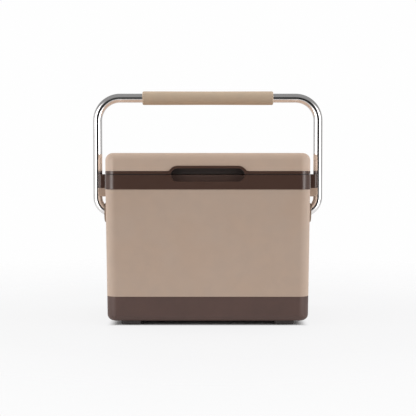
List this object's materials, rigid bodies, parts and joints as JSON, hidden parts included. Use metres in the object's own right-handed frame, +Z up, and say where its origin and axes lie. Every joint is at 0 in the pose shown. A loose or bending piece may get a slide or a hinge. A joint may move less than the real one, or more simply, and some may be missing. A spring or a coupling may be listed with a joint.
{
  "type": "cooler chest",
  "caption": "Hard insulated cooler chest with a rear-hinged lid, a finger recess at the front, a rim band, a base tray on feet and a steel carrying bail with a grip sleeve.",
  "frame": {"origin": "on the surface it stands on, under the centre of the whole object's bounding box", "axes": "+Z up, -Y towards the front with the finger recess, +X to the right seen from the front"},
  "size_m": [0.3574, 0.2282, 0.3491],
  "materials": {
    "beige_shell": "fine leather-like grain",
    "rim_plastic": "satin gloss",
    "base_plastic": "satin",
    "pivot_plastic": "satin",
    "grip_sleeve": "soft matt",
    "liner": "smooth",
    "insulation": "cellular",
    "black_rubber": "matt",
    "bearing_plastic": "smooth",
    "polished_steel": "polished",
    "steel_fastener": "turned"
  },
  "bodies": {
    "root": {"outer_shell": "beige_shell", "foam_core": "insulation", "inner_liner": "liner", "rim_band": "rim_plastic", "base_tray": "base_plastic", "foot_front_left": "black_rubber", "foot_front_right": "black_rubber", "foot_rear_left": "black_rubber", "foot_rear_right": "black_rubber", "foot_screws": "steel_fastener", "pivot_cup_left": "pivot_plastic", "pivot_cup_right": "pivot_plastic", "hinge_pin_left": "steel_fastener", "hinge_pin_right": "steel_fastener"},
    "lid": {"lid_shell": "beige_shell", "lid_frame": "rim_plastic", "lid_liner": "liner", "lid_foam": "insulation", "lid_seal": "black_rubber"},
    "pivot_bushes": {"pivot_bush_left": "bearing_plastic", "pivot_bush_right": "bearing_plastic"},
    "bail": {"bail_tube": "polished_steel", "bail_grip": "grip_sleeve", "bail_end_plug_left": "bearing_plastic", "bail_end_plug_right": "bearing_plastic"}
  },
  "joints": [
    {"name": "lid_hinge", "type": "hinge", "parent": "root", "child": "lid", "pos_m": [0, 0.1096, 0.2209], "axis": [-1, 0, 0], "range_deg": [0, 100]},
    {"name": "bush_turn", "type": "hinge", "parent": "root", "child": "pivot_bushes", "pos_m": [0, -0.0029, 0.1605], "axis": [-1, 0, 0], "range_deg": [0, 90]},
    {"name": "bail_swing", "type": "hinge", "parent": "pivot_bushes", "child": "bail", "pos_m": [0, -0.0029, 0.1605], "axis": [-1, 0, 0], "range_deg": [0, 42]}
  ],
  "couplings": [
    {"joint": "bush_turn", "follows": "lid_hinge", "ratio": 0.9}
  ]
}
